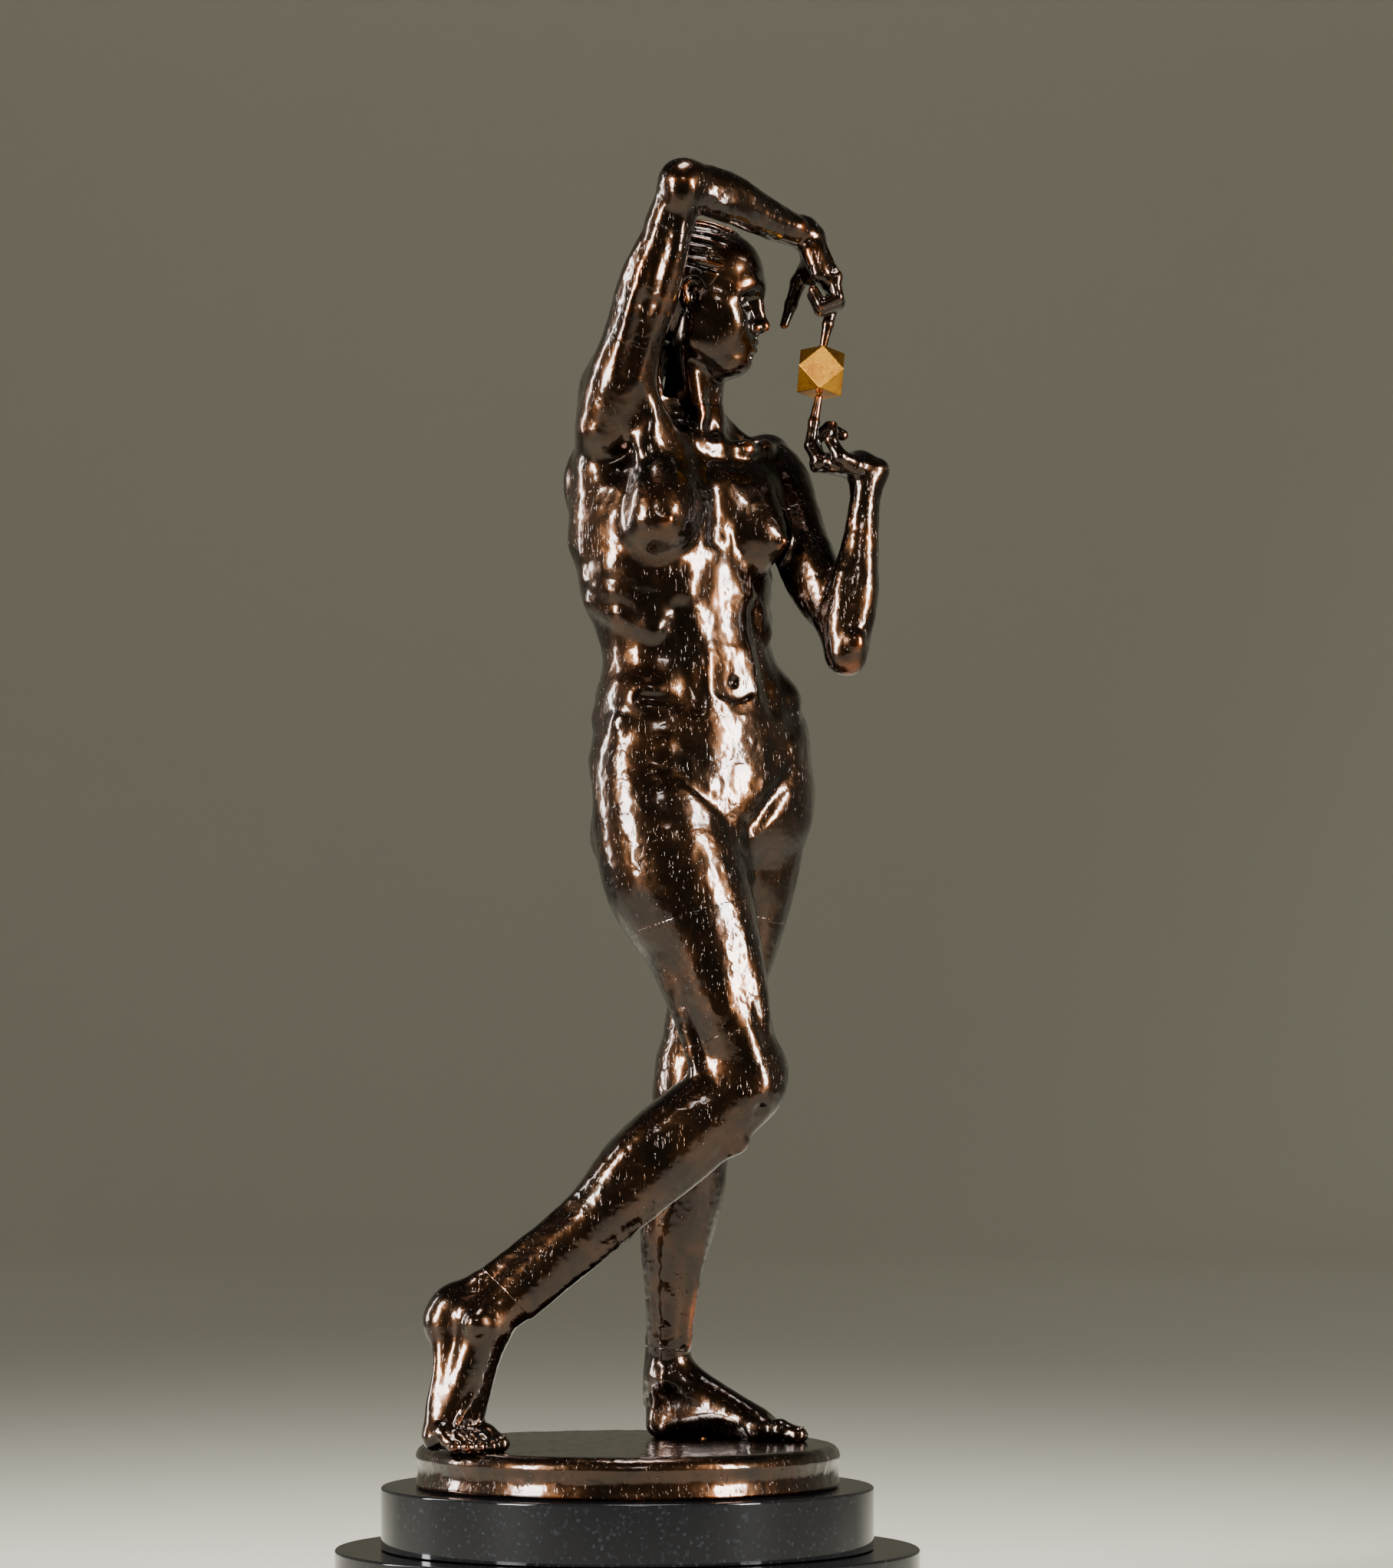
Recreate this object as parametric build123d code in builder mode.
"""Bronze figure on a two-tier revolving stone base, modelled as the castings and fittings it is assembled from.

The figure stands on its left leg with the right leg crossed in front, and holds a cuboctahedron between the
tips of its two index fingers. +X is the figure's viewing right, -Y is the display front and +Z is up. The
origin is the centre of the base's underside. Millimetres throughout.
"""

import os
from math import cos, radians, sin

from build123d import *

os.makedirs("parts", exist_ok=True)

# ---------------------------------------------------------------- driving dimensions: base
pad_thickness = 1.5
pad_inset = 4.0
lower_stone_radius = 120.5
lower_stone_height = 30.0
upper_stone_radius = 101.5
upper_stone_height = 25.0
stone_edge_radius = 1.0
stone_gap = 0.6  # shadow line between the two stones, so that the upper one turns freely

# swivel bearing, sunk half into each stone
bearing_radius = 50.0
bearing_pocket_clearance = 1.0
bearing_plate_thickness = 2.6
bearing_ball_radius = 2.0
bearing_groove_clearance = 0.06
bearing_plate_gap = 2.0
bearing_ball_circle = 36.0
bearing_ball_count = 24
cage_thickness = 1.0
cage_half_width = 3.2
cage_hole_clearance = 0.08
pivot_radius = 8.0
pivot_bore_radius = 4.0
pivot_clearance = 0.05
pivot_flange_radius = 11.0
pivot_flange_thickness = 1.2
pivot_flange_play = 0.3
bearing_screw_circle = 45.0
bearing_screw_count = 4
bearing_screw_radius = 1.5
bearing_screw_head_radius = 2.8
bearing_screw_length = 12.0
screw_hole_clearance = 0.15
screw_hole_extra_depth = 1.0

# bronze terrace under the feet
terrace_radius = 88.0
terrace_height = 17.5
terrace_wall = 4.0
terrace_top_thickness = 5.0
terrace_cavity_step = 2.0
terrace_rim_radius = 7.0
terrace_foot_radius = 1.5

# bolts from the upper stone into the terrace's bosses
terrace_bolt_count = 3
terrace_bolt_circle = 62.0
terrace_bolt_radius = 3.0
terrace_bolt_head_radius = 5.0
terrace_bolt_head_height = 4.0
terrace_bolt_bite = 11.0
terrace_boss_radius = 7.0
bolt_washer_radius = 7.5
bolt_washer_thickness = 1.2
bolt_counterbore_depth = 6.5
bolt_hole_clearance = 0.3
bolt_hole_extra_depth = 0.5

# studs that hold the feet to the terrace
foot_stud_radius = 2.0
foot_stud_reach = 7.0
foot_stud_boss_radius = 8.0
foot_stud_pocket_radius = 5.2
foot_nut_radius = 3.6
foot_nut_height = 3.0
foot_washer_radius = 4.6
foot_washer_thickness = 0.8
foot_stud_past_nut = 1.0
fit_clearance = 0.05

# the faceted solid and the pin through it
solid_half = 9.2
solid_lean_back = 12.5
solid_lean_side = 5.0
solid_pin_radius = 0.7
solid_pin_bite = 3.0
solid_edge = 0.5
finger_tip_radius = 1.6
finger_tip_gap = 0.1

# casting wall, the dowels of the solid castings and the pinned socket joints of the hollow ones
casting_wall = 3.6
trunk_wall = 4.0
dowel_radius = 2.0
dowel_length = 12.0
dowel_chamfer = 0.4
spigot_length = 7.0
spigot_clearance = 0.08
joint_pin_radius = 0.8
joint_pin_length = 6.0
joint_pin_set_back = 3.5
joint_pin_depth_below_skin = 0.8

# ---------------------------------------------------------------- heights that follow from the stack
lower_stone_top = pad_thickness + lower_stone_height
upper_stone_bottom = lower_stone_top + stone_gap
upper_stone_top = upper_stone_bottom + upper_stone_height
ground = upper_stone_top + terrace_height
bearing_height = 2 * bearing_plate_thickness + bearing_plate_gap
bearing_pocket_depth = (bearing_height - stone_gap) / 2
bearing_bottom = lower_stone_top - bearing_pocket_depth
bearing_middle = bearing_bottom + bearing_height / 2
bearing_top = bearing_bottom + bearing_height


def point(x, y, height):
    """A place on the figure, with its height counted from the terrace's top."""
    return Vector(x, y, ground + height)


# ---------------------------------------------------------------- the pose: joint centres
neck_base = point(23.0, 4.0, 412.0)
neck_top = point(29.0, -1.0, 447.0)
head_centre = point(31.5, -3.0, 472.5)
shoulder_right = point(-6.0, -22.0, 426.5)
elbow_right = point(20.5, -46.0, 514.5)
wrist_right = point(73.9, -8.0, 497.2)
shoulder_left = point(60.0, 26.0, 403.5)
elbow_left = point(89.7, -16.0, 327.4)
wrist_left = point(98.4, -10.0, 397.5)
hip_right = point(10.0, -16.0, 263.9)
knee_right = point(46.1, -26.0, 148.6)
ankle_right = point(-57.9, -44.0, 52.5)
hip_left = point(55.3, 14.0, 271.8)
knee_left = point(27.7, 24.0, 148.9)
ankle_left = point(17.2, 33.0, 25.2)
solid_centre = point(79.6, -8.0, 440.8)

# How far along each bone the castings are parted
shoulder_part = 0.30
elbow_part = 0.82
hip_part = 0.34
knee_part = 0.84
ankle_part = 0.90

# Sections of each limb: share of the bone's length, half width across the view, half depth
upper_arm_right_sections = [(0, 13, 13), (0.35, 12.2, 10.5), (0.6, 11.6, 10), (0.82, 9.2, 8.8), (1, 8.4, 8.4)]
forearm_right_sections = [(0, 8.4, 8.4), (0.22, 10.2, 9), (0.5, 8.6, 7.6), (0.8, 6.6, 5.8), (1, 6, 4.8)]
upper_arm_left_sections = [(0, 13, 13), (0.3, 11.2, 11.2), (0.6, 10, 10), (0.82, 9, 8.8), (1, 8.4, 8.4)]
forearm_left_sections = [(0, 8.4, 8.4), (0.22, 10.6, 9), (0.42, 9.4, 8.2), (0.65, 7.2, 6.6), (1, 5.8, 4.8)]
thigh_right_sections = [(-0.18, 14, 14), (-0.1, 21, 20), (0, 25, 24), (0.12, 28, 27), (0.28, 29.5, 27),
                        (0.36, 28, 26), (0.52, 23.6, 23), (0.69, 19.4, 19.5), (0.84, 17.2, 17.4),
                        (1, 16.6, 16.4)]
shin_right_sections = [(0, 16.6, 16.4), (0.18, 17, 15.4), (0.4, 15.6, 14.4), (0.6, 13.6, 12.2),
                       (0.75, 11.8, 10), (0.9, 10.6, 8.6), (1, 10.4, 8.4)]
thigh_left_sections = [(-0.15, 11, 12), (-0.08, 17, 18), (0, 20, 22), (0.18, 23, 25), (0.34, 23.4, 24.5),
                       (0.5, 22.2, 22.5), (0.65, 20, 20.5), (0.84, 17.4, 17.6), (1, 16.6, 16.4)]
# From the middle of the chest out to each shoulder
chest_right = point(9.0, -6.0, 386.0)
chest_left = point(40.0, 15.0, 388.0)
girdle_right_sections = [(0, 27, 20), (0.5, 21, 18), (1, 14.1, 14.1)]
girdle_left_sections = [(0, 24, 20), (0.5, 19, 17), (1, 14, 14)]
shin_left_sections = [(0, 16.6, 16.4), (0.25, 16.8, 15.6), (0.48, 16, 14.8), (0.72, 11, 10.6), (0.9, 8.8, 8.8),
                      (1, 9, 9)]

# Sections of the trunk: centre x, centre y, height, half breadth, half depth, turn about +Z
trunk_sections = [
    (32, -1, 248, 42, 28, 30),
    (30, -1, 266, 49.5, 31.5, 30),
    (29.6, 0, 280, 48.5, 31.5, 30),
    (29.6, 0.5, 291, 46, 31, 31),
    (28, 1.5, 313, 42.5, 28, 33),
    (25.2, 2, 324, 37.5, 27, 34),
    (22.5, 2, 335, 38.5, 27.5, 34),
    (20.2, 2, 345, 41.5, 28.5, 34),
    (19.6, 1.5, 357, 43, 30, 34),
    (19.8, 1, 370, 43.5, 31, 34),
    (20.3, 0.5, 385, 43.5, 30, 35),
    (21, 1, 398, 41, 25, 36),
    (22.5, 2, 409, 33, 19, 37),
    (24, 3, 418, 18, 13.5, 37),
]

# Sections of the skull and face: height from the head's centre, forward shift, half length, half breadth
head_turn = -12.0
head_sections = [
    (-30, 12, 7, 8),
    (-24, 8, 13.5, 13),
    (-14, 3.5, 20, 17),
    (0, 0.5, 25.5, 19.5),
    (12, -1, 26.5, 20.5),
    (21, -2, 23, 18),
    (27.5, -2.5, 14, 11.5),
    (30, -3, 6, 5),
]
neck_half_length = 13.5
neck_half_breadth = 12.5

# Radii of the balls that round off the bends of the limbs
shoulder_ball = 14.9
elbow_ball = 9.2
knee_ball = 17.8
ankle_ball_left = 9.2
ankle_ball_right = 9.6
heel_ball_right = 7.8


# ---------------------------------------------------------------- shared builders
def along(start, end, share):
    """The point that share of the way from start to end."""
    return start + (end - start) * share


def across(start, end, share):
    """The plane square to a bone, with its x direction across the view and its y direction in depth."""
    bone = (end - start).normalized()
    side = Vector(0, 1, 0).cross(bone).normalized()
    return Plane(origin=along(start, end, share), x_dir=side, z_dir=bone)


def section_at(sections, share):
    """Half width and half depth of a limb at any share of its length, straight between the named sections."""
    for (low, wide_a, deep_a), (high, wide_b, deep_b) in zip(sections, sections[1:]):
        if low <= share <= high:
            part = (share - low) / (high - low)
            return wide_a + (wide_b - wide_a) * part, deep_a + (deep_b - deep_a) * part
    raise ValueError(f"no section at {share}")


def limb(start, end, sections, first=0.0, last=1.0, thinner=0.0):
    """A length of limb, lofted through ellipses square to its bone; thinner makes the core inside it."""
    shares = [first, *[s for s, _, _ in sections if first < s < last], last]
    with BuildPart() as length:
        for share in shares:
            wide, deep = section_at(sections, share)
            with BuildSketch(across(start, end, share)):
                Ellipse(wide - thinner, deep - thinner)
        loft(ruled=True)
    return length.part


def ball(centre, radius):
    """A round joint where two lengths of limb meet."""
    with BuildPart() as joint:
        with Locations(centre):
            Sphere(radius)
    return joint.part


def capsule(start, end, radius_start, radius_end):
    """One bone of a finger or toe: a taper with a ball at its far end."""
    with BuildPart() as bone:
        with BuildSketch(Plane(origin=start, z_dir=end - start)):
            Circle(radius_start)
        with BuildSketch(Plane(origin=end, z_dir=end - start)):
            Circle(radius_end)
        loft()
        with Locations(end):
            Sphere(radius_end)
    return bone.part


def digit(joints, radii):
    """A finger or toe as a run of capsules through its joints."""
    with BuildPart() as finger:
        with Locations(joints[0]):
            Sphere(radii[0])
        for start, end, radius_start, radius_end in zip(joints, joints[1:], radii, radii[1:]):
            add(capsule(start, end, radius_start, radius_end))
    return finger.part


def dowel_hole(plane):
    """The drilled seat of a dowel, half on each side of the parting plane."""
    with BuildPart() as hole:
        with BuildSketch(plane.offset(-dowel_length / 2 - fit_clearance)):
            Circle(dowel_radius + fit_clearance)
        extrude(amount=dowel_length + 2 * fit_clearance)
    return hole.part


def dowel(plane):
    """A bronze dowel centred on the parting plane."""
    with BuildPart() as pin:
        with BuildSketch(plane.offset(-dowel_length / 2)):
            Circle(dowel_radius)
        extrude(amount=dowel_length)
        chamfer(pin.edges().filter_by(GeomType.CIRCLE), dowel_chamfer)
    return pin.part


def save(part, name):
    """Labels one finished piece and writes its STEP file."""
    part.label = name
    export_step(part, f"parts/{name}.step")


# ---------------------------------------------------------------- parting planes of the solid castings
part_neck = Plane(origin=along(neck_base, neck_top, 0.5), x_dir=(1, 0, 0), z_dir=neck_top - neck_base)
part_wrist_right = across(elbow_right, wrist_right, 1.0)
part_wrist_left = across(elbow_left, wrist_left, 1.0)
part_ankle_right = across(knee_right, ankle_right, ankle_part)
part_ankle_left = across(knee_left, ankle_left, ankle_part)

# ---------------------------------------------------------------- base: pad and lower stone
with BuildPart() as pad:
    with BuildSketch():
        Circle(lower_stone_radius - pad_inset)
    extrude(amount=pad_thickness)
save(pad.part, "felt_pad")

bearing_screw_places = PolarLocations(bearing_screw_circle, bearing_screw_count)
pocket_radius = bearing_radius + bearing_pocket_clearance

with BuildPart() as lower_stone:
    with BuildSketch(Plane.XY.offset(pad_thickness)):
        Circle(lower_stone_radius)
    extrude(amount=lower_stone_height)
    fillet(lower_stone.edges().group_by(Axis.Z)[-1], stone_edge_radius)
    with BuildSketch(Plane.XY.offset(bearing_bottom)):
        Circle(pocket_radius)
    extrude(amount=bearing_pocket_depth, mode=Mode.SUBTRACT)
    with BuildSketch(Plane.XY.offset(bearing_bottom)):
        with bearing_screw_places:
            Circle(bearing_screw_radius)
    extrude(amount=bearing_plate_thickness - bearing_screw_length - screw_hole_extra_depth, mode=Mode.SUBTRACT)
save(lower_stone.part, "lower_stone")


# ---------------------------------------------------------------- base: swivel bearing
def ball_groove(height):
    """The race that the balls run in, cut into a plate's face."""
    with BuildPart() as groove:
        with BuildSketch(Plane.XZ):
            with Locations((bearing_ball_circle, height)):
                Circle(bearing_ball_radius + bearing_groove_clearance)
        revolve(axis=Axis.Z)
    return groove.part


def countersunk_screws(face_height, direction):
    """Screws with flush heads at face_height, pointing along direction (+1 up, -1 down)."""
    head_depth = bearing_screw_head_radius - bearing_screw_radius
    with BuildPart() as screws:
        with bearing_screw_places:
            add(screw_solid(head_depth, direction).moved(Location((0, 0, face_height))))
    return screws.part


def screw_solid(head_depth, direction):
    """One countersunk screw with its head's face at the origin."""
    with BuildPart() as screw:
        with BuildSketch(Plane.XZ):
            with BuildLine():
                Polyline(
                    (0, 0),
                    (bearing_screw_head_radius, 0),
                    (bearing_screw_radius, direction * head_depth),
                    (bearing_screw_radius, direction * bearing_screw_length),
                    (0, direction * bearing_screw_length),
                    close=True,
                )
            make_face()
        revolve(axis=Axis.Z)
    return screw.part


def bearing_plate(bottom, centre_bore, head_face, direction):
    """A round bearing plate with its race, its centre bore and its countersunk screw holes."""
    head_radius = bearing_screw_head_radius + screw_hole_clearance
    hole_radius = bearing_screw_radius + screw_hole_clearance
    with BuildPart() as plate:
        with BuildSketch(Plane.XY.offset(bottom)):
            Circle(bearing_radius)
            Circle(centre_bore, mode=Mode.SUBTRACT)
        extrude(amount=bearing_plate_thickness)
        add(ball_groove(bearing_middle), mode=Mode.SUBTRACT)
        for turn in range(bearing_screw_count):
            angle = radians(360 * turn / bearing_screw_count)
            centre = (bearing_screw_circle * cos(angle), bearing_screw_circle * sin(angle))
            sink = head_radius - hole_radius
            with BuildSketch(Plane.XY.offset(head_face)):
                with Locations(centre):
                    Circle(head_radius)
            with BuildSketch(Plane.XY.offset(head_face + direction * sink)):
                with Locations(centre):
                    Circle(hole_radius)
            loft(mode=Mode.SUBTRACT)
            with BuildSketch(Plane.XY.offset(bottom)):
                with Locations(centre):
                    Circle(hole_radius)
            extrude(amount=bearing_plate_thickness, mode=Mode.SUBTRACT)
    return plate.part


lower_plate_face = bearing_bottom + bearing_plate_thickness
upper_plate_face = bearing_top - bearing_plate_thickness
lower_plate = bearing_plate(bearing_bottom, pivot_radius, lower_plate_face, -1)
upper_plate = bearing_plate(upper_plate_face, pivot_radius + pivot_clearance, upper_plate_face, 1)
save(lower_plate, "swivel_lower_plate")
save(upper_plate, "swivel_upper_plate")
save(countersunk_screws(lower_plate_face, -1), "lower_plate_screws")
save(countersunk_screws(upper_plate_face, 1), "upper_plate_screws")

with BuildPart() as pivot:
    with BuildSketch(Plane.XY.offset(bearing_bottom)):
        Circle(pivot_radius)
    extrude(amount=bearing_height + pivot_flange_play)
    with BuildSketch(Plane.XY.offset(bearing_top + pivot_flange_play)):
        Circle(pivot_flange_radius)
    extrude(amount=pivot_flange_thickness)
    with BuildSketch(Plane.XY.offset(bearing_bottom)):
        Circle(pivot_bore_radius)
    extrude(amount=bearing_height + pivot_flange_play + pivot_flange_thickness, mode=Mode.SUBTRACT)
save(pivot.part, "swivel_pivot")

with BuildPart() as cage:
    with BuildSketch(Plane.XY.offset(bearing_middle - cage_thickness / 2)):
        Circle(bearing_ball_circle + cage_half_width)
        Circle(bearing_ball_circle - cage_half_width, mode=Mode.SUBTRACT)
        with PolarLocations(bearing_ball_circle, bearing_ball_count):
            Circle(bearing_ball_radius + cage_hole_clearance, mode=Mode.SUBTRACT)
    extrude(amount=cage_thickness)
save(cage.part, "ball_cage")

with BuildPart() as balls:
    with Locations((0, 0, bearing_middle)):
        with PolarLocations(bearing_ball_circle, bearing_ball_count):
            Sphere(bearing_ball_radius)
save(balls.part, "bearing_balls")

# ---------------------------------------------------------------- base: upper stone
terrace_bolt_places = PolarLocations(terrace_bolt_circle, terrace_bolt_count, start_angle=30)
bolt_seat = upper_stone_bottom + bolt_counterbore_depth

with BuildPart() as upper_stone:
    with BuildSketch(Plane.XY.offset(upper_stone_bottom)):
        Circle(upper_stone_radius)
    extrude(amount=upper_stone_height)
    fillet(upper_stone.edges().group_by(Axis.Z)[-1], stone_edge_radius)
    with BuildSketch(Plane.XY.offset(upper_stone_bottom)):
        Circle(pocket_radius)
    extrude(amount=bearing_pocket_depth, mode=Mode.SUBTRACT)
    with BuildSketch(Plane.XY.offset(bearing_top)):
        Circle(pivot_flange_radius + bearing_pocket_clearance)
    extrude(amount=pivot_flange_thickness + bearing_pocket_clearance, mode=Mode.SUBTRACT)
    with BuildSketch(Plane.XY.offset(bearing_top)):
        with bearing_screw_places:
            Circle(bearing_screw_radius)
    extrude(amount=bearing_screw_length + screw_hole_extra_depth - bearing_plate_thickness, mode=Mode.SUBTRACT)
    with BuildSketch(Plane.XY.offset(upper_stone_bottom)):
        with terrace_bolt_places:
            Circle(bolt_washer_radius + bearing_pocket_clearance)
    extrude(amount=bolt_counterbore_depth, mode=Mode.SUBTRACT)
    with BuildSketch(Plane.XY.offset(bolt_seat)):
        with terrace_bolt_places:
            Circle(terrace_bolt_radius + bolt_hole_clearance)
    extrude(amount=upper_stone_top - bolt_seat, mode=Mode.SUBTRACT)
save(upper_stone.part, "upper_stone")

with BuildPart() as washers:
    with BuildSketch(Plane.XY.offset(bolt_seat - bolt_washer_thickness)):
        with terrace_bolt_places:
            Circle(bolt_washer_radius)
        with terrace_bolt_places:
            Circle(terrace_bolt_radius + bolt_hole_clearance, mode=Mode.SUBTRACT)
    extrude(amount=bolt_washer_thickness)
save(washers.part, "terrace_bolt_washers")

bolt_head_bottom = bolt_seat - bolt_washer_thickness - terrace_bolt_head_height
bolt_end = upper_stone_top + terrace_bolt_bite
with BuildPart() as bolts:
    with BuildSketch(Plane.XY.offset(bolt_head_bottom)):
        with terrace_bolt_places:
            RegularPolygon(terrace_bolt_head_radius, 6)
    extrude(amount=terrace_bolt_head_height)
    with BuildSketch(Plane.XY.offset(bolt_seat - bolt_washer_thickness)):
        with terrace_bolt_places:
            Circle(terrace_bolt_radius)
    extrude(amount=bolt_end - bolt_seat + bolt_washer_thickness)
save(bolts.part, "terrace_bolts")

# ---------------------------------------------------------------- terrace, cast hollow from below
foot_direction_left = Vector(cos(radians(-24)), sin(radians(-24)), 0)
foot_side_left = Vector(0, 0, 1).cross(foot_direction_left)
heel_left = point(8.5, 38.5, 0)
foot_direction_right = Vector(cos(radians(-42)), sin(radians(-42)), 0)
foot_side_right = Vector(0, 0, 1).cross(foot_direction_right)
ball_right = point(-66.0, -47.0, 0)


def under_left_foot(length, side, height):
    """A place on the flat left foot: length from the heel, side towards the little toe, height of the sole."""
    return heel_left + foot_direction_left * length + foot_side_left * side + Vector(0, 0, height)


def under_right_foot(length, side, height):
    """A place on the right forefoot, with length counted from the balls of the toes."""
    return ball_right + foot_direction_right * length + foot_side_right * side + Vector(0, 0, height)


stud_left = under_left_foot(26, 0, 0)
stud_right = under_right_foot(2, 0, 0)
stud_bottom = ground - terrace_top_thickness - foot_washer_thickness - foot_nut_height - foot_stud_past_nut

foot_stud_places = Locations((stud_left.X, stud_left.Y), (stud_right.X, stud_right.Y))

with BuildPart() as terrace:
    with BuildSketch(Plane.XY.offset(upper_stone_top)):
        Circle(terrace_radius)
    extrude(amount=terrace_height)
    fillet(terrace.edges().group_by(Axis.Z)[-1], terrace_rim_radius)
    fillet(terrace.edges().group_by(Axis.Z)[0], terrace_foot_radius)
    with BuildSketch(Plane.XY.offset(upper_stone_top)):
        Circle(terrace_radius - terrace_wall)
        with terrace_bolt_places:
            Circle(terrace_boss_radius, mode=Mode.SUBTRACT)
        with foot_stud_places:
            Circle(foot_stud_boss_radius, mode=Mode.SUBTRACT)
    extrude(amount=terrace_height - terrace_top_thickness - terrace_cavity_step, mode=Mode.SUBTRACT)
    with BuildSketch(Plane.XY.offset(ground - terrace_top_thickness - terrace_cavity_step)):
        Circle(terrace_radius - terrace_wall - terrace_rim_radius)
        with terrace_bolt_places:
            Circle(terrace_boss_radius, mode=Mode.SUBTRACT)
        with foot_stud_places:
            Circle(foot_stud_boss_radius, mode=Mode.SUBTRACT)
    extrude(amount=terrace_cavity_step, mode=Mode.SUBTRACT)
    with BuildSketch(Plane.XY.offset(upper_stone_top)):
        with foot_stud_places:
            Circle(foot_stud_pocket_radius)
    extrude(amount=terrace_height - terrace_top_thickness, mode=Mode.SUBTRACT)
    with BuildSketch(Plane.XY.offset(upper_stone_top)):
        with terrace_bolt_places:
            Circle(terrace_bolt_radius + fit_clearance)
    extrude(amount=terrace_bolt_bite + bolt_hole_extra_depth, mode=Mode.SUBTRACT)
    with BuildSketch(Plane.XY.offset(ground - terrace_top_thickness)):
        with foot_stud_places:
            Circle(foot_stud_radius + fit_clearance)
    extrude(amount=terrace_top_thickness, mode=Mode.SUBTRACT)
save(terrace.part, "terrace")


def foot_studs():
    """The two threaded studs that stand up into the feet."""
    with BuildPart() as studs:
        with BuildSketch(Plane.XY.offset(stud_bottom)):
            with foot_stud_places:
                Circle(foot_stud_radius)
        extrude(amount=ground + foot_stud_reach - stud_bottom)
    return studs.part


def foot_rings(top, outline, thickness):
    """Two rings on the studs under the terrace's top: washers if outline is round, nuts if it has six sides."""
    with BuildPart() as rings:
        with BuildSketch(Plane.XY.offset(top - thickness)):
            with foot_stud_places:
                if outline == "round":
                    Circle(foot_washer_radius)
                else:
                    RegularPolygon(foot_nut_radius, 6)
                Circle(foot_stud_radius + fit_clearance, mode=Mode.SUBTRACT)
        extrude(amount=thickness)
    return rings.part


washer_top = ground - terrace_top_thickness
save(foot_studs(), "foot_studs")
save(foot_rings(washer_top, "round", foot_washer_thickness), "foot_stud_washers")
save(foot_rings(washer_top - foot_washer_thickness, "six", foot_nut_height), "foot_stud_nuts")


def stud_holes():
    """The blind holes in the soles that the studs stand in."""
    with BuildPart() as holes:
        with BuildSketch(Plane.XY.offset(ground)):
            with foot_stud_places:
                Circle(foot_stud_radius + fit_clearance)
        extrude(amount=foot_stud_reach + fit_clearance)
    return holes.part


# ---------------------------------------------------------------- faceted solid: a cuboctahedron on a pin
solid_plane = Plane(origin=solid_centre, z_dir=(0, 0, 1)).rotated((-solid_lean_back, solid_lean_side, 0))
solid_axis = solid_plane.z_dir
solid_top = solid_centre + solid_axis * solid_half
solid_bottom = solid_centre - solid_axis * solid_half


def cuboctahedron():
    """A cube with each corner cut off through the middles of the three edges that meet there."""
    with BuildPart() as solid:
        Box(2 * solid_half, 2 * solid_half, 2 * solid_half)
        for x in (-1, 1):
            for y in (-1, 1):
                for z in (-1, 1):
                    corner = Vector(x, y, z)
                    cut = Plane(origin=corner * (solid_half * 2 / 3), z_dir=corner)
                    split(bisect_by=cut, keep=Keep.BOTTOM)
        fillet(solid.edges(), solid_edge)
        Cylinder(solid_pin_radius + fit_clearance, 4 * solid_half, mode=Mode.SUBTRACT)
    return solid_plane.location * solid.part


save(cuboctahedron(), "faceted_solid")


def solid_pin(extra):
    """The brass rod through the faceted solid; extra grows it into the hole that it sits in."""
    with BuildPart() as rod:
        with BuildSketch(solid_plane.offset(-solid_half - solid_pin_bite - extra)):
            Circle(solid_pin_radius + extra)
        extrude(amount=2 * (solid_half + solid_pin_bite + extra))
    return rod.part


save(solid_pin(0), "solid_pin")


# ---------------------------------------------------------------- socket joints between hollow castings
def spigot(start, end, sections, share, direction):
    """The short plug that one casting pushes into its hollow neighbour, towards direction along the bone."""
    reach = share + direction * spigot_length / (end - start).length
    return limb(start, end, sections, min(share, reach), max(share, reach), casting_wall + spigot_clearance)


def joint_pins(start, end, sections, share, direction, extra=0.0):
    """The two pins driven through a hollow casting's wall into the spigot inside it."""
    level = share + direction * joint_pin_set_back / (end - start).length
    half_depth = section_at(sections, level)[1]
    plane = across(start, end, level)
    with BuildPart() as pins:
        for side in (-1, 1):
            outer = plane.origin + plane.y_dir * (side * (half_depth - joint_pin_depth_below_skin))
            with BuildSketch(Plane(origin=outer, z_dir=plane.y_dir * -side)):
                Circle(joint_pin_radius + extra)
            extrude(amount=joint_pin_length)
    return pins.part


# Each hollow joint: bone start, bone end, sections, share of the bone, and which way the spigot points
joint_shoulder_right = (shoulder_right, elbow_right, upper_arm_right_sections, shoulder_part, 1)
joint_elbow_right = (shoulder_right, elbow_right, upper_arm_right_sections, elbow_part, -1)
joint_shoulder_left = (shoulder_left, elbow_left, upper_arm_left_sections, shoulder_part, 1)
joint_elbow_left = (shoulder_left, elbow_left, upper_arm_left_sections, elbow_part, -1)
joint_hip_right = (hip_right, knee_right, thigh_right_sections, hip_part, 1)
joint_knee_right = (hip_right, knee_right, thigh_right_sections, knee_part, -1)
joint_hip_left = (hip_left, knee_left, thigh_left_sections, hip_part, 1)
joint_knee_left = (hip_left, knee_left, thigh_left_sections, knee_part, -1)
hollow_joints = [
    joint_shoulder_right,
    joint_elbow_right,
    joint_shoulder_left,
    joint_elbow_left,
    joint_hip_right,
    joint_knee_right,
    joint_hip_left,
    joint_knee_left,
]

with BuildPart() as pins:
    for joint in hollow_joints:
        add(joint_pins(*joint))
save(pins.part, "joint_pins")

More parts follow.
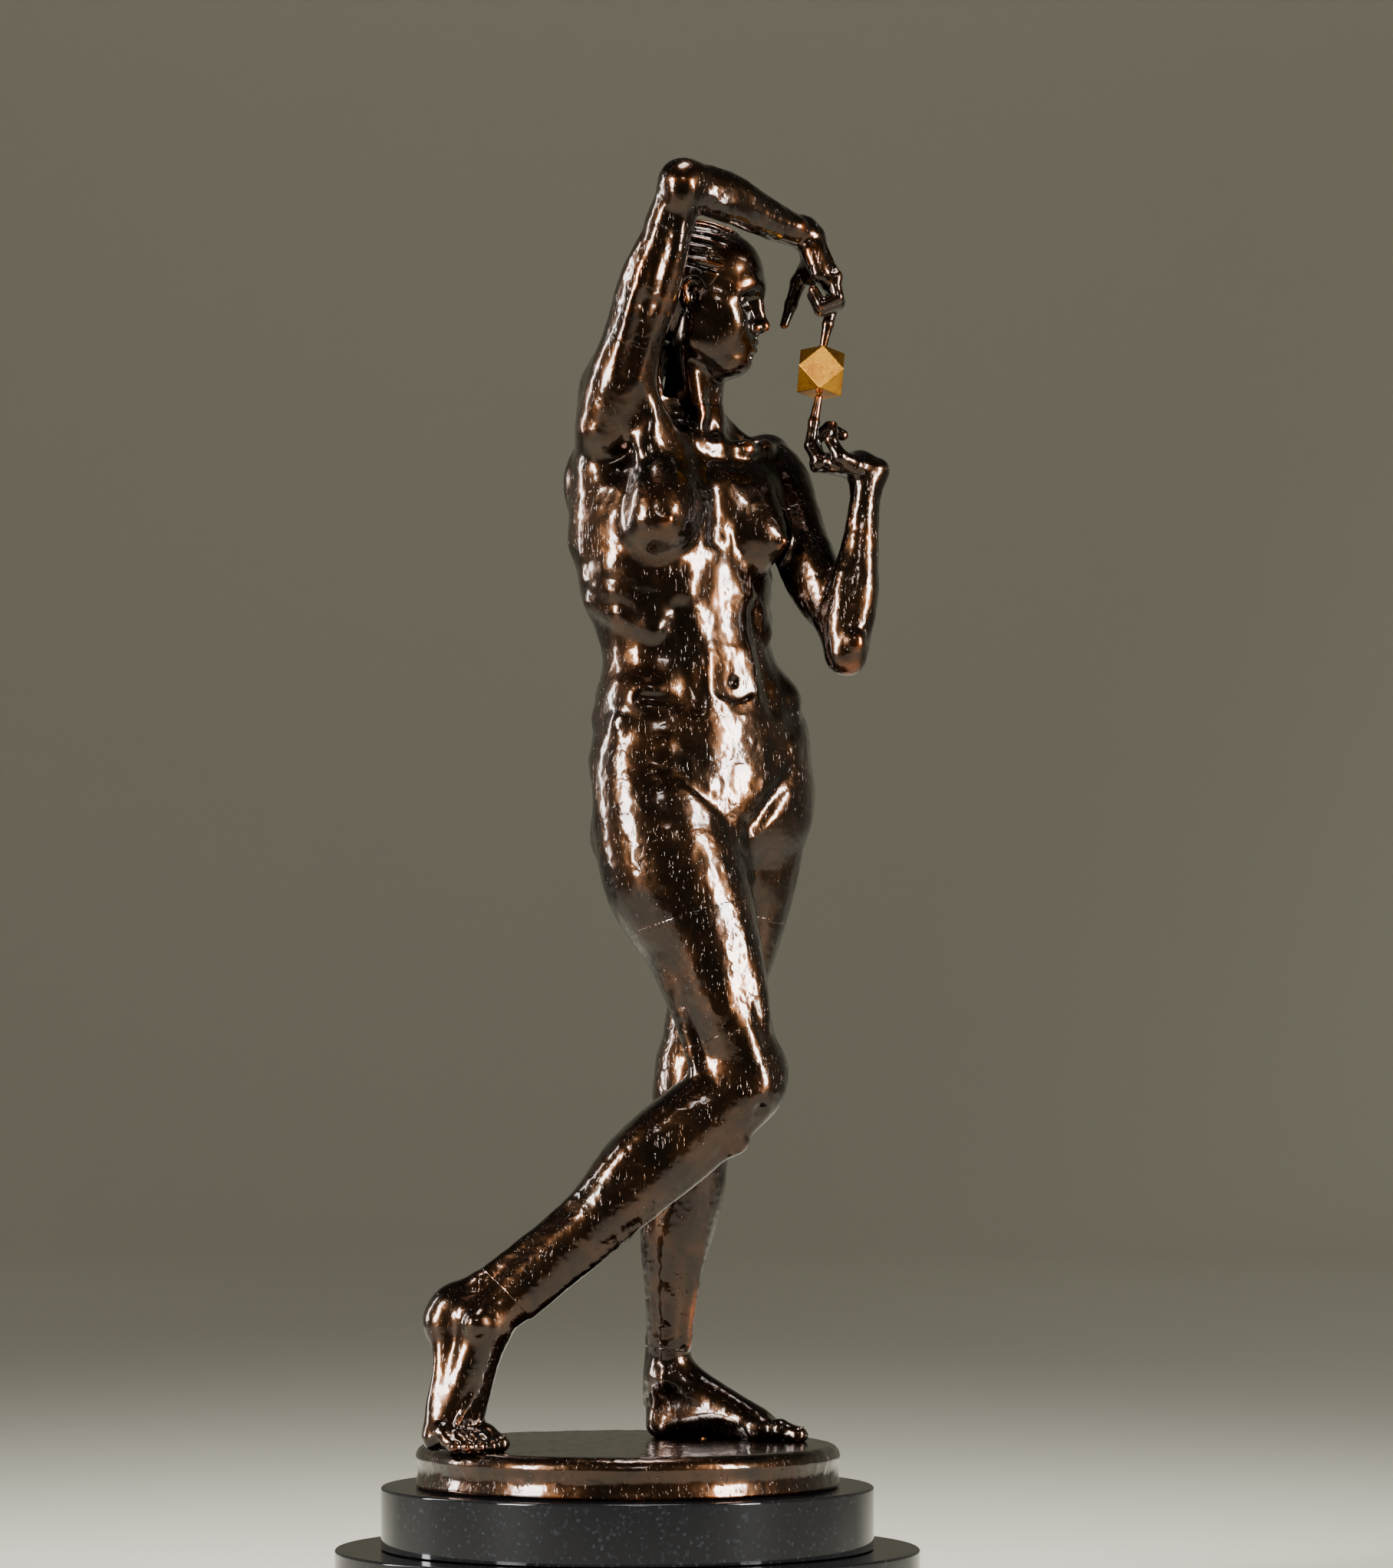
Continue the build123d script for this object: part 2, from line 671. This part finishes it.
with BuildPart() as pin_holes:
    for joint in hollow_joints:
        add(joint_pins(*joint, extra=fit_clearance))


def hollow_limb(start, end, sections, first, last):
    """A limb's casting between two parting planes, open at both ends, with its pin holes."""
    with BuildPart() as casting:
        add(limb(start, end, sections, first, last))
        add(limb(start, end, sections, first, last, casting_wall), mode=Mode.SUBTRACT)
        add(pin_holes.part, mode=Mode.SUBTRACT)
    return casting.part


# ---------------------------------------------------------------- legs
thigh_right = hollow_limb(hip_right, knee_right, thigh_right_sections, hip_part, knee_part)
save(thigh_right, "right_thigh")

with BuildPart() as thigh_left:
    add(hollow_limb(hip_left, knee_left, thigh_left_sections, hip_part, knee_part))
    add(limb(hip_right, knee_right, thigh_right_sections, 0, knee_part), mode=Mode.SUBTRACT)
save(thigh_left.part, "left_thigh")


def shin(hip, knee, ankle, thigh_sections, shin_sections, knee_joint, ankle_plane):
    """A shin's casting, from the parting line above the knee down to the ankle."""
    with BuildPart() as casting:
        add(limb(hip, knee, thigh_sections, knee_part, 1))
        add(ball(knee, knee_ball))
        add(limb(knee, ankle, shin_sections, 0, ankle_part))
        split(bisect_by=across(hip, knee, knee_part), keep=Keep.TOP)
        add(spigot(*knee_joint))
        add(dowel_hole(ankle_plane), mode=Mode.SUBTRACT)
        add(pin_holes.part, mode=Mode.SUBTRACT)
    return casting.part


shin_right = shin(hip_right, knee_right, ankle_right, thigh_right_sections, shin_right_sections,
                  joint_knee_right, part_ankle_right)
shin_left = shin(hip_left, knee_left, ankle_left, thigh_left_sections, shin_left_sections, joint_knee_left,
                 part_ankle_left)
save(shin_right, "right_shin")
save(shin_left, "left_shin")

# The flat foot: length from the heel, height of the instep, half width
flat_foot_sections = [(0.5, 9, 4.5), (5, 17, 8.5), (14, 25, 9.5), (26, 27, 10), (38, 19, 11.5), (50, 12.5, 13),
                      (59, 8, 13)]
toe_lengths = [73, 72, 69.5, 66, 62]
toe_sides = [-9.8, -4.2, 0.8, 5.4, 9.8]
toe_radii = [4.1, 3.0, 2.8, 2.6, 2.5]


def left_foot_shape():
    """The standing foot: an instep lofted along the sole, five toes, and the ankle above it."""
    with BuildPart() as foot:
        for length, height, half_width in flat_foot_sections:
            middle = under_left_foot(length, 0, height / 2)
            with BuildSketch(Plane(origin=middle, x_dir=foot_side_left, z_dir=foot_direction_left)):
                Ellipse(half_width, height / 2 + 0.6)
        loft()
        for toe_length, side, radius in zip(toe_lengths, toe_sides, toe_radii):
            start = under_left_foot(50, side * 0.9, radius + 1)
            end = under_left_foot(toe_length - radius, side, radius)
            add(capsule(start, end, radius, radius))
        add(limb(knee_left, ankle_left, shin_left_sections, ankle_part, 1))
        add(ball(ankle_left, ankle_ball_left))
        add(stud_holes(), mode=Mode.SUBTRACT)
        add(dowel_hole(part_ankle_left), mode=Mode.SUBTRACT)
        split(bisect_by=Plane.XY.offset(ground), keep=Keep.TOP)
    return foot.part


save(left_foot_shape(), "left_foot")

heel_right = point(-70.0, -37.5, 58.0)
toe_lengths_right = [19, 18.5, 16.5, 14, 11]


def right_foot_shape():
    """The trailing foot: heel lifted, standing on the balls and the pads of its toes."""
    sole_start, sole_end = heel_right, under_right_foot(-5, 0, 9)
    sections = [(0, 8, 7.5), (0.25, 10.5, 9), (0.5, 9.5, 10), (0.75, 8.5, 11.5), (1, 7.5, 13)]
    with BuildPart() as foot:
        for share, half_height, half_width in sections:
            middle = along(sole_start, sole_end, share)
            slope = sole_end - sole_start
            with BuildSketch(Plane(origin=middle, x_dir=foot_side_right, z_dir=slope)):
                Ellipse(half_width, half_height)
        loft()
        add(ball(heel_right, heel_ball_right))
        add(limb(knee_right, ankle_right, shin_right_sections, ankle_part, 1))
        add(ball(ankle_right, ankle_ball_right))
        for toe_length, side, radius in zip(toe_lengths_right, toe_sides, toe_radii):
            start = under_right_foot(-4, side, radius + 3)
            end = under_right_foot(toe_length - radius, side, radius)
            add(capsule(start, end, radius + 1.2, radius))
        add(stud_holes(), mode=Mode.SUBTRACT)
        add(dowel_hole(part_ankle_right), mode=Mode.SUBTRACT)
        split(bisect_by=Plane.XY.offset(ground), keep=Keep.TOP)
    return foot.part


save(right_foot_shape(), "right_foot")

# ---------------------------------------------------------------- arms
upper_arm_right = hollow_limb(shoulder_right, elbow_right, upper_arm_right_sections, shoulder_part, elbow_part)
save(upper_arm_right, "right_upper_arm")


def forearm(shoulder, elbow, wrist, upper_sections, forearm_sections, elbow_joint, wrist_plane):
    """A forearm's casting, from the parting line above the elbow to the wrist."""
    with BuildPart() as casting:
        add(limb(shoulder, elbow, upper_sections, elbow_part, 1))
        add(ball(elbow, elbow_ball))
        add(limb(elbow, wrist, forearm_sections))
        split(bisect_by=across(shoulder, elbow, elbow_part), keep=Keep.TOP)
        add(spigot(*elbow_joint))
        add(dowel_hole(wrist_plane), mode=Mode.SUBTRACT)
        add(pin_holes.part, mode=Mode.SUBTRACT)
    return casting.part


forearm_right = forearm(shoulder_right, elbow_right, wrist_right, upper_arm_right_sections,
                        forearm_right_sections, joint_elbow_right, part_wrist_right)
save(forearm_right, "right_forearm")

with BuildPart() as forearm_left:
    add(limb(shoulder_left, elbow_left, upper_arm_left_sections, elbow_part, 1))
    add(ball(elbow_left, elbow_ball))
    add(limb(elbow_left, wrist_left, forearm_left_sections))
    add(spigot(*joint_elbow_left))
    add(limb(shoulder_left, elbow_left, upper_arm_left_sections, shoulder_part, elbow_part), mode=Mode.SUBTRACT)
    add(spigot(*joint_elbow_left))
    add(dowel_hole(part_wrist_left), mode=Mode.SUBTRACT)
    add(pin_holes.part, mode=Mode.SUBTRACT)
save(forearm_left.part, "left_forearm")

upper_arm_left = hollow_limb(shoulder_left, elbow_left, upper_arm_left_sections, shoulder_part, elbow_part)
save(upper_arm_left, "left_upper_arm")

# ---------------------------------------------------------------- hands
tip_right = solid_top + solid_axis * (finger_tip_radius + finger_tip_gap)
tip_left = solid_bottom - solid_axis * (finger_tip_radius + finger_tip_gap)


def hand(wrist, parting, palm_end, palm_side, digits):
    """A hand: a palm lofted from the wrist to the knuckles, and its digits with the pin's hole in one tip."""
    direction = palm_end - wrist
    with BuildPart() as whole:
        for share, half_width, half_depth in [(0, 5.4, 4.4), (0.35, 8, 4.8), (0.75, 9.6, 4.2), (1, 9.4, 3.6)]:
            middle = along(wrist, palm_end, share)
            with BuildSketch(Plane(origin=middle, x_dir=palm_side, z_dir=direction)):
                Ellipse(half_width, half_depth)
        loft()
        for joints, radii in digits:
            add(digit(joints, radii))
        add(solid_pin(fit_clearance), mode=Mode.SUBTRACT)
        add(dowel_hole(parting), mode=Mode.SUBTRACT)
        split(bisect_by=parting, keep=Keep.TOP)
    return whole.part


# Digits from the thumb to the little finger: joints from the knuckle out, and a radius at each.
# Right hand: fingers down, palm to the face, index finger on the far side reaching down to the solid
palm_end_right = point(83.0, -8.0, 477.0)
digits_right = [
    ([point(76, -2, 493), point(69, 3, 480), point(66, 3, 468), point(62.5, 2, 461)], [3.6, 3, 2.4, 1.9]),
    ([point(84, -1, 478), point(84, -3.5, 466), tip_right], [3, 2.4, finger_tip_radius]),
    ([point(84.5, -6, 477), point(86, -7.5, 467), point(78, -7.5, 462), point(75, -7.5, 469)],
     [3, 2.7, 2.3, 2]),
    ([point(84.5, -11, 477), point(87, -12, 468), point(79, -12, 464), point(76, -12, 471)],
     [2.9, 2.6, 2.2, 1.9]),
    ([point(84, -15.5, 478), point(86.5, -17, 470), point(79.5, -17, 466.5), point(77, -16.5, 472)],
     [2.6, 2.4, 2, 1.8]),
]
hand_right = hand(wrist_right, part_wrist_right, palm_end_right, Vector(0, 1, 0), digits_right)
save(hand_right, "right_hand")

# Left hand: bent back on the wrist, palm up, index finger on the near side reaching up to the solid
palm_end_left = point(78.5, -6.0, 403.5)
digits_left = [
    ([point(92, -17, 400), point(86, -20, 405), point(82, -19, 411), point(84, -17, 417)], [3.6, 3, 2.5, 2]),
    ([point(79, -13, 403.5), point(76, -12, 412), tip_left], [3, 2.5, finger_tip_radius]),
    ([point(78.5, -7, 403.5), point(76.5, -6, 413), point(83, -5, 418), point(87, -5, 413)], [3, 2.6, 2.3, 2]),
    ([point(79, -2, 404), point(78, -1, 413), point(85, 0, 418), point(89, 0, 413)], [2.9, 2.5, 2.2, 1.9]),
    ([point(80, 2.5, 404.5), point(80, 3.5, 412), point(86, 4, 416), point(90, 4, 411.5)], [2.6, 2.3, 2, 1.8]),
]
hand_left = hand(wrist_left, part_wrist_left, palm_end_left, Vector(0, 1, 0), digits_left)
save(hand_left, "left_hand")


# ---------------------------------------------------------------- trunk and head
def trunk_loft(thinner):
    """The trunk from the crotch to the base of the neck, lofted through level ellipses."""
    with BuildPart() as body:
        for x, y, height, half_breadth, half_depth, turn in trunk_sections:
            level = Plane(origin=point(x, y, height), x_dir=(cos(radians(turn)), sin(radians(turn)), 0))
            with BuildSketch(level):
                Ellipse(half_breadth - thinner, half_depth - thinner)
        loft(ruled=True)
    return body.part


def neck(first, last, thinner=0.0):
    """The neck between two shares of its length."""
    with BuildPart() as column:
        for share in (first, last):
            with BuildSketch(Plane(origin=along(neck_base, neck_top, share), z_dir=neck_top - neck_base)):
                Ellipse(neck_half_length - thinner, neck_half_breadth - thinner)
        loft()
    return column.part


upper_limbs = [
    limb(shoulder_right, elbow_right, upper_arm_right_sections, shoulder_part, elbow_part),
    limb(shoulder_left, elbow_left, upper_arm_left_sections, shoulder_part, elbow_part),
    limb(hip_right, knee_right, thigh_right_sections, hip_part, knee_part),
    limb(hip_left, knee_left, thigh_left_sections, hip_part, knee_part),
]

with BuildPart() as spigot_hip_left:
    add(spigot(*joint_hip_left))
    add(limb(hip_right, knee_right, thigh_right_sections, 0, knee_part), mode=Mode.SUBTRACT)

with BuildPart() as trunk:
    add(trunk_loft(0))
    add(neck(-0.3, 0.5))
    add(limb(hip_right, knee_right, thigh_right_sections, thigh_right_sections[0][0], hip_part))
    add(limb(hip_left, knee_left, thigh_left_sections, thigh_left_sections[0][0], hip_part))
    add(limb(chest_right, shoulder_right, girdle_right_sections))
    add(ball(shoulder_right, shoulder_ball))
    add(limb(shoulder_right, elbow_right, upper_arm_right_sections, 0, shoulder_part))
    add(limb(chest_left, shoulder_left, girdle_left_sections))
    add(ball(shoulder_left, shoulder_ball))
    add(limb(shoulder_left, elbow_left, upper_arm_left_sections, 0, shoulder_part))
    for length in upper_limbs:
        add(length, mode=Mode.SUBTRACT)
    add(trunk_loft(trunk_wall), mode=Mode.SUBTRACT)
    for joint in (joint_shoulder_right, joint_shoulder_left, joint_hip_right):
        add(spigot(*joint))
    add(spigot_hip_left.part)
    add(dowel_hole(part_neck), mode=Mode.SUBTRACT)
    add(pin_holes.part, mode=Mode.SUBTRACT)
save(trunk.part, "torso")


def head_loft(thinner):
    """The skull and face as ellipses stacked up the head, turned to the way it faces."""
    facing = Vector(cos(radians(head_turn)), sin(radians(head_turn)), 0)
    with BuildPart() as skull:
        for height, forward, half_length, half_breadth in head_sections:
            middle = head_centre + facing * forward + Vector(0, 0, height)
            with BuildSketch(Plane(origin=middle, x_dir=facing, z_dir=(0, 0, 1))):
                Ellipse(half_length - thinner, half_breadth - thinner)
        loft()
    return skull.part


with BuildPart() as head:
    add(head_loft(0))
    add(neck(0.5, 1.3))
    add(dowel_hole(part_neck), mode=Mode.SUBTRACT)
save(head.part, "head")

# ---------------------------------------------------------------- dowels
dowel_planes = [part_neck, part_wrist_right, part_wrist_left, part_ankle_right, part_ankle_left]
with BuildPart() as dowels:
    for plane in dowel_planes:
        add(dowel(plane))
save(dowels.part, "casting_dowels")
